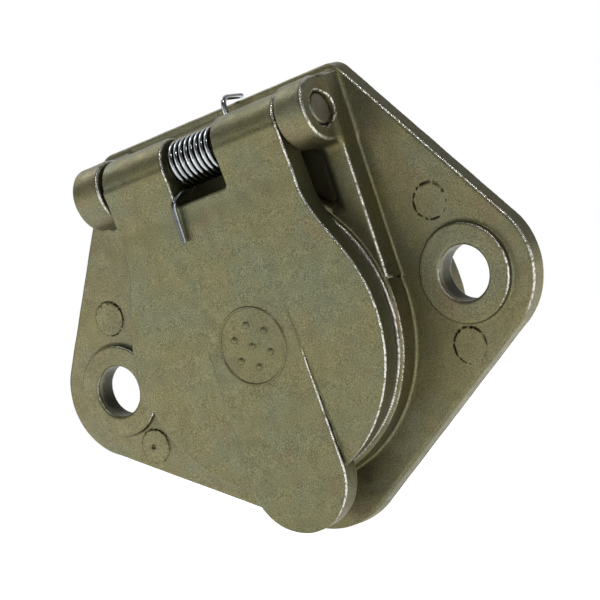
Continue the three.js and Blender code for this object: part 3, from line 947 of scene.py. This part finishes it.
def insert_field(x, y, z):
    """The carrier: a flange and a plug, with the contacts' holes and collars and the screws' holes."""
    radius = np.hypot(x, z)
    front = INSERT_LOW[1]
    flange = slab(radius - INSERT_HIGH[0], y, front, front + INSERT_FLANGE, 0.4)
    plug = slab(radius - INSERT_PLUG_RADIUS, y, front + 1, INSERT_HIGH[1], 0.5)
    solid = joined(flange, plug, 0.6)
    for number in range(1, CONTACT_COUNT + 1):
        cx, cz, _ = contact_place(number)
        away = np.hypot(x - cx, z - cz)
        collar = np.abs(away - COLLAR_RADIUS) - COLLAR_HALF_WIDTH
        solid = cut(solid, np.maximum(collar, y - front - COLLAR_DEPTH), 0.2)
        solid = cut(solid, away - CONTACT_HOLE_RADIUS, 0.3)
    for angle in FIXING_ANGLES:
        cx, cz = on_circle(FIXING_CIRCLE, angle)
        away = np.hypot(x - cx, z - cz)
        counterbore = np.maximum(away - COUNTERBORE_RADIUS, y - front - COUNTERBORE_DEPTH)
        solid = cut(solid, away - FIXING_RADIUS, SCREW_HOLE_EDGE)
        solid = cut(solid, counterbore, SCREW_HOLE_EDGE)
    return solid


def make_insert():
    piece = solid_piece("contact_insert_moulding", insert_field, INSERT_LOW, INSERT_HIGH, step=0.3, keep=0.4)
    finished(piece, PHENOLIC, "insert", "socket_body", "contact_insert")


def contact_field(x, y, z):
    """One contact along Y: tip split crosswise, wire hole behind, and screw hole towards +X."""
    radius = np.hypot(x, z)
    tip, back = CONTACT_LOW[1], CONTACT_HIGH[1]
    nose = 0.9 * np.clip(tip + 1.0 - y, 0, 1) ** 2
    pin = slab(radius - CONTACT_RADIUS + nose, y, tip, back - POST_LENGTH, 0.3)
    solid = joined(pin, slab(radius - POST_RADIUS, y, back - POST_LENGTH - 0.2, back, 0.3), 0.4)
    split = np.minimum(np.abs(x), np.abs(z)) - 0.28
    solid = cut(solid, np.maximum(split, y - tip - SPLIT_DEPTH), 0.12)
    solid = cut(solid, np.maximum(radius - WIRE_HOLE_RADIUS, back - WIRE_HOLE_DEPTH - y), 0.2)
    drill = np.hypot(y - back + CLAMP_FROM_BACK, z) - CLAMP_RADIUS
    return cut(solid, np.maximum(drill, -x), 0.15)


def screw_field(head, shank_radius, length):
    """A slotted cheese-head screw along Y, its head's top at 0 and its point at length."""
    def field(x, y, z):
        radius = np.hypot(x, z)
        thread = THREAD_DEPTH * np.sin(2 * math.pi * y / THREAD_PITCH) * (y > head + 0.3)
        solid = slab(radius - SCREW_HEAD_RADIUS, y, 0, head, 0.22)
        solid = np.minimum(solid, slab(radius - shank_radius + thread, y, head - 0.2, length, 0.2))
        slot = np.maximum(np.abs(x) - SCREW_SLOT_HALF_WIDTH, y - SCREW_SLOT_SHARE * head)
        return cut(solid, slot, 0.08)
    return field


def screw_piece(head, shank_radius, length):
    side = SCREW_HEAD_RADIUS
    field = screw_field(head, shank_radius, length)
    return solid_piece("screw", field, (-side, 0, -side), (side, length, side), step=0.12, keep=0.5)


def copies(first, names, places, material, slot, node_names):
    """Copies of a piece, one at each place, each riding on the housing."""
    for name, place, node in zip(names, places, node_names):
        piece = bpy.data.objects.new(name, first.data.copy())
        bpy.context.scene.collection.objects.link(piece)
        piece.data.transform(place)
        finished(piece, material, slot, "socket_body", node)
    bpy.data.objects.remove(first)


def make_contacts():
    """The contacts and the clamp screw in the outward side of each one's post."""
    numbers = range(1, CONTACT_COUNT + 1)
    low, high = (-3, CONTACT_LOW[1], -3), (3, CONTACT_HIGH[1], 3)
    contact = solid_piece("contact", contact_field, low, high, step=0.16, keep=0.5)
    places, screws = [], []
    screw_y = CONTACT_HIGH[1] - CLAMP_FROM_BACK
    for number in numbers:
        x, z, outward = contact_place(number)
        turn = Matrix.Rotation(-math.radians(outward), 4, "Y")
        places.append(Matrix.Translation((x * MM, 0, z * MM)) @ turn)
        out = Matrix.Translation((4.1 * MM, screw_y * MM, 0)) @ Matrix.Rotation(math.pi / 2, 4, "Z")
        screws.append(Matrix.Translation((x * MM, 0, z * MM)) @ turn @ out)
    names = [f"contact_{n}" for n in numbers]
    copies(contact, names, places, BRASS, "brass", [f"contact_pin_{n}" for n in numbers])
    screw = screw_piece(head=0.9, shank_radius=1.15, length=3.1)
    names = [f"terminal_screw_{n}_steel" for n in numbers]
    copies(screw, names, screws, SCREW, "screw_steel", [f"terminal_screw_{n}" for n in numbers])


def make_fixing_screws():
    """The three screws that hold the insert, each with its slot turned another way."""
    screw = screw_piece(head=1.2, shank_radius=1.1, length=5.8)
    places = []
    for i, angle in enumerate(FIXING_ANGLES):
        x, z = on_circle(FIXING_CIRCLE, angle)
        turn = Matrix.Rotation(0.7 + 1.9 * i, 4, "Y")
        places.append(Matrix.Translation((x * MM, INSERT_LOW[1] * MM, z * MM)) @ turn)
    names = [f"insert_screw_{i}_steel" for i in (1, 2, 3)]
    copies(screw, names, places, SCREW, "screw_steel", [f"insert_screw_{i}" for i in (1, 2, 3)])


# ---- studio ----

def make_camera():
    """The view from a little below and to the right, with the object leaning to the left."""
    azimuth, elevation, roll = math.radians(34.06), math.radians(-2.0), math.radians(18.08)
    aim = Vector((4.63, -2.98, 4.40)) * MM
    distance = 353.6 * MM
    back = Vector((
        math.sin(azimuth) * math.cos(elevation),
        -math.cos(azimuth) * math.cos(elevation),
        math.sin(elevation),
    ))
    data = bpy.data.cameras.new("camera")
    data.lens = 134.67
    data.sensor_width = 36
    data.clip_start, data.clip_end = 0.01, 20
    camera = bpy.data.objects.new("camera", data)
    bpy.context.scene.collection.objects.link(camera)
    camera.location = aim + back * distance
    level = (-back).to_track_quat("-Z", "Y").to_matrix().to_4x4()
    camera.rotation_euler = (level @ Matrix.Rotation(-roll, 4, "Z")).to_euler()
    bpy.context.scene.camera = camera


def make_light(name, place, size, power):
    """A soft panel aimed at the object."""
    data = bpy.data.lights.new(name, "AREA")
    data.shape = "DISK"
    data.size = size
    data.energy = power
    lamp = bpy.data.objects.new(name, data)
    bpy.context.scene.collection.objects.link(lamp)
    lamp.location = place
    lamp.rotation_euler = (-Vector(place)).to_track_quat("-Z", "Y").to_euler()


# Glows of the studio's walls: direction, cosines where each starts and is full, and strength.
SKY = (
    ((0.0, 0.0, 1.0), -1.01, -1.0, 0.08),
    ((-0.76, -0.62, -0.12), 0.74, 1.0, 2.1),
    ((0.42, -0.90, -0.10), 0.75, 1.0, 0.62),
    ((0.0, 1.0, 0.1), 0.1, 0.8, 0.28),
    ((-0.56, 0.20, 0.80), 0.55, 1.0, 0.75),
)

# Lamps: name, place and size in metres, and power.
LAMPS = (
    ("edge_low", (0.82, -0.55, 0.10), 0.10, 0.5),
    ("near", (-0.19, -0.17, -0.005), 0.04, 0.02),
    ("edge_high", (0.50, -0.45, 0.74), 0.10, 1.6),
    ("key", (-0.55, 0.10, 0.80), 0.3, 1.2),
)


def make_studio():
    """A white surround with soft glows, four lamps and a bright floor under the object."""
    scene = bpy.context.scene
    scene.view_settings.view_transform = "Standard"
    world = bpy.data.worlds.new("studio")
    scene.world = world
    world.use_nodes = True
    nodes, links = world.node_tree.nodes, world.node_tree.links
    background = nodes["Background"]
    way = nodes.new("ShaderNodeTexCoord").outputs["Generated"]
    total = None
    for direction, start, full, strength in SKY:
        facing = nodes.new("ShaderNodeVectorMath")
        facing.operation = "DOT_PRODUCT"
        facing.inputs[1].default_value = Vector(direction).normalized()
        links.new(way, facing.inputs[0])
        glow = ramp(nodes, links, facing.outputs["Value"], start, full, 0.0, strength)
        if total is None:
            total = glow
        else:
            added = nodes.new("ShaderNodeMath")
            links.new(total, added.inputs[0])
            links.new(glow, added.inputs[1])
            total = added.outputs["Value"]
    seen = nodes.new("ShaderNodeMix")
    links.new(nodes.new("ShaderNodeLightPath").outputs["Is Camera Ray"], seen.inputs["Factor"])
    links.new(total, seen.inputs["A"])
    seen.inputs["B"].default_value = 1.0
    links.new(seen.outputs["Result"], background.inputs["Strength"])
    background.inputs["Color"].default_value = (1, 1, 1, 1)
    for lamp in LAMPS:
        make_light(*lamp)
    half = 3.0
    corners = np.array([(-half, -half, 0), (half, -half, 0), (half, half, 0), (-half, half, 0)]) / MM
    floor = object_of("floor", corners + (0, 0, HOUSING_LOW[2]), [(0, 1, 2, 3)])
    material, nodes, links, shader = material_of("floor")
    tone = noise_of(nodes, links, 40.0)
    links.new(mixed(nodes, links, tone, (0.86, 0.86, 0.86), (0.90, 0.90, 0.90)), shader.inputs["Base Color"])
    shader.inputs["Roughness"].default_value = 0.8
    shader.inputs["Emission Color"].default_value = (1, 1, 1, 1)
    shader.inputs["Emission Strength"].default_value = 0.95
    floor.data.materials.append(material)


make_camera()
make_studio()
make_housing()
make_lid()
make_lid_mark()
make_seal()
make_pin()
make_spring()
make_insert()
make_contacts()
make_fixing_screws()
